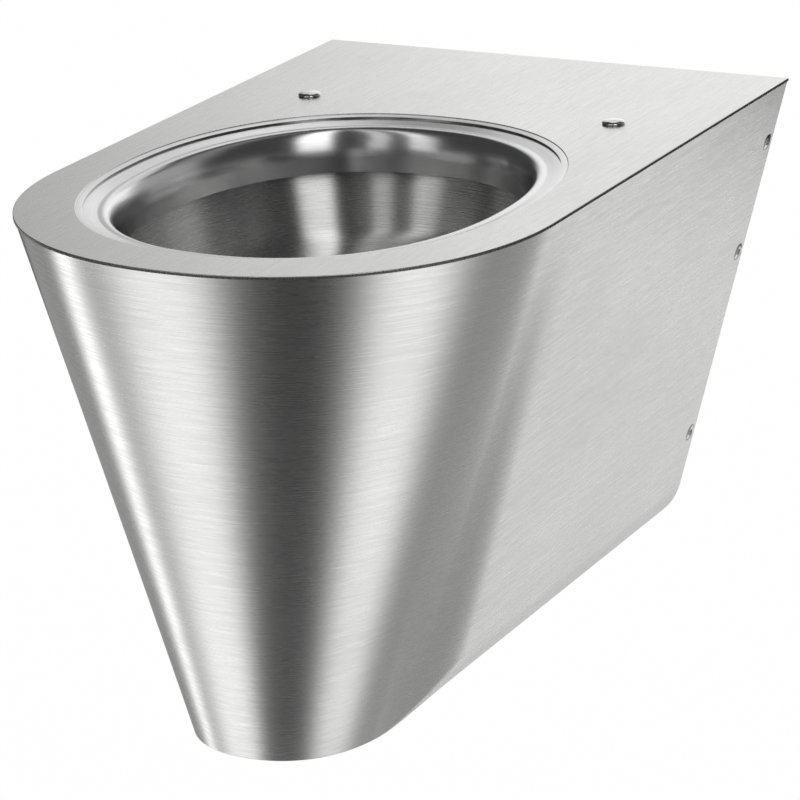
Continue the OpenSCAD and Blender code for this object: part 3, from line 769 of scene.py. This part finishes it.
# The lower end of an outline: straight down at a radius, with a chamfer
def shank(radius, top, bottom):
    end = bottom + chamfer
    return [(radius, top), (radius, end), (radius - chamfer, bottom), (0, bottom)]


outline = []
for step in range(dome_steps + 1):
    angle = math.asin(dome_reach / dome_r) * step / dome_steps
    outline.append((dome_r * math.sin(angle), dome_high - dome_r + dome_r * math.cos(angle)))
lip = [outline[-1], (0.0073, 0.0017), (0.0079, 0.001), (0.0076, 0.0004), (0.0072, 0)]
outline += [tuple(point) for point in through(lip)[1:]]
stoppers = turned("stoppers", outline + shank(stem_r, 0, -stem_l), seat_places)
smooth(stoppers, 40)
plug_steel = brushed(
    "plug_steel", (0.66, 0.66, 0.66), (0.70, 0.70, 0.70),
    rough=0.14, spread=0.03, anisotropy=0, bump=0.1,
)
finish_piece(stoppers, plug_steel, "polished_steel", "hole_stoppers")

# Side screws
# Six stainless countersunk security screws with a slightly raised head and a six-lobe recess with
# a pin, which fix the skirt to the wall plate's side flanges.
head_points = [(0, 0.0006), (0.002, 0.00055), (0.004, 0.0003), (0.0055, 0), (0.00585, -0.0002)]
head_t = 0.0031
screw_r = 0.003
screw_l = 0.014
lobes = 6
recess_r = 0.0022
lobe_r = 0.00042
pin_r = 0.0007
recess_floor = -0.0022
recess_top = 0.002
recess_steps = 72

outline = [tuple(point) for point in through(head_points)]
screws = turned("security_screws", outline + shank(screw_r, -head_t, -screw_l), screw_places)

# The recess's points go round in pairs, one on the lobes and one on the pin, on two levels
recess_points = []
for height in (recess_floor, recess_top):
    for step in range(recess_steps):
        angle = 2 * math.pi * step / recess_steps
        for reach in (recess_r + lobe_r * math.cos(lobes * angle), pin_r):
            recess_points.append((reach * math.cos(angle), reach * math.sin(angle), height))
level = 2 * recess_steps
faces = []
for step in range(recess_steps):
    a = 2 * step
    b = 2 * ((step + 1) % recess_steps)
    faces += [(a, b, b + level, a + level), (b + 1, a + 1, a + 1 + level, b + 1 + level)]
    faces += [(b, a, a + 1, b + 1), (a + level, b + level, b + 1 + level, a + 1 + level)]
for place in screw_places:
    recess = add_mesh("recess", recess_points, [], faces)
    recess.data.transform(place)
    cut_out(screws, recess)
smooth(screws, 35)
screw_steel = brushed(
    "screw_steel", (0.52, 0.52, 0.52), (0.60, 0.60, 0.60),
    rough=0.2, spread=0.04, anisotropy=0, bump=0.15,
)
finish_piece(screws, screw_steel, "fixing_steel", "side_screws")

# Sump, bottom plate, trap, pipes and carrying parts
# Plain mill-finish steel, bent or drawn and welded, with a light roll grain and dull patches.
# The screws, nuts and washers are a little brighter, and the sump is ground like the bowl.
raw = brushed(
    "raw_steel", (0.47, 0.47, 0.465), (0.56, 0.56, 0.555),
    rough=0.4, spread=0.06, anisotropy=0, bump=0.3, axes="YXZ",
)
fixing = brushed(
    "fixing_steel", (0.5, 0.5, 0.495), (0.6, 0.6, 0.595),
    rough=0.3, spread=0.05, anisotropy=0, bump=0.3,
)
sump_steel = brushed(
    "sump_steel", (0.55, 0.55, 0.545), (0.61, 0.61, 0.605),
    rough=0.3, spread=0.03, anisotropy=0, bump=0.3, axes="ZXY",
)

# Flush seal and the stoppers' washers
# Moulded black rubber, matt, with a fine skin texture and pale dust in it, held by their fit.
rubber_dark = (0.018, 0.018, 0.019)
rubber_dusty = (0.035, 0.034, 0.033)
rubber_rough = 0.6
rubber_spread = 0.08
dust_marks = (60, 60, 60)
skin_marks = (2500, 2500, 2500)
skin_depth = 0.00004
seal, nodes, links = shader("seal_rubber")
body = nodes.new("ShaderNodeBsdfPrincipled")
finish_shader(nodes, links, body)
place = nodes.new("ShaderNodeTexCoord").outputs["Object"]
dust = stretched_noise(nodes, links, place, dust_marks, 4)
skin = stretched_noise(nodes, links, place, skin_marks, 2)
share = ranged(nodes, links, dust, 0.4, 0.7, 0, 1)
links.new(between(nodes, links, share, rubber_dark, rubber_dusty), body.inputs["Base Color"])
smoother = rubber_rough - rubber_spread
rougher = rubber_rough + rubber_spread
links.new(ranged(nodes, links, dust, 0.3, 0.7, smoother, rougher), body.inputs["Roughness"])
links.new(relief(nodes, links, skin, 0.3, skin_depth), body.inputs["Normal"])

# Kept pieces
# The pieces that show their CAD form take their material from the slot that the record gives them.
looks = {
    "satin_steel": satin,
    "bowl_steel": sump_steel,
    "raw_steel": raw,
    "fixing_steel": fixing,
    "seal_rubber": seal,
    "washer_rubber": seal,
}
slots = {sub["node"]: sub["material_slot"] for sub in frame["record"]["subparts"]}
for name, node in frame["nodes"].items():
    if not node.hide_render:
        for place in node.material_slots:
            place.material = looks[slots[name]]
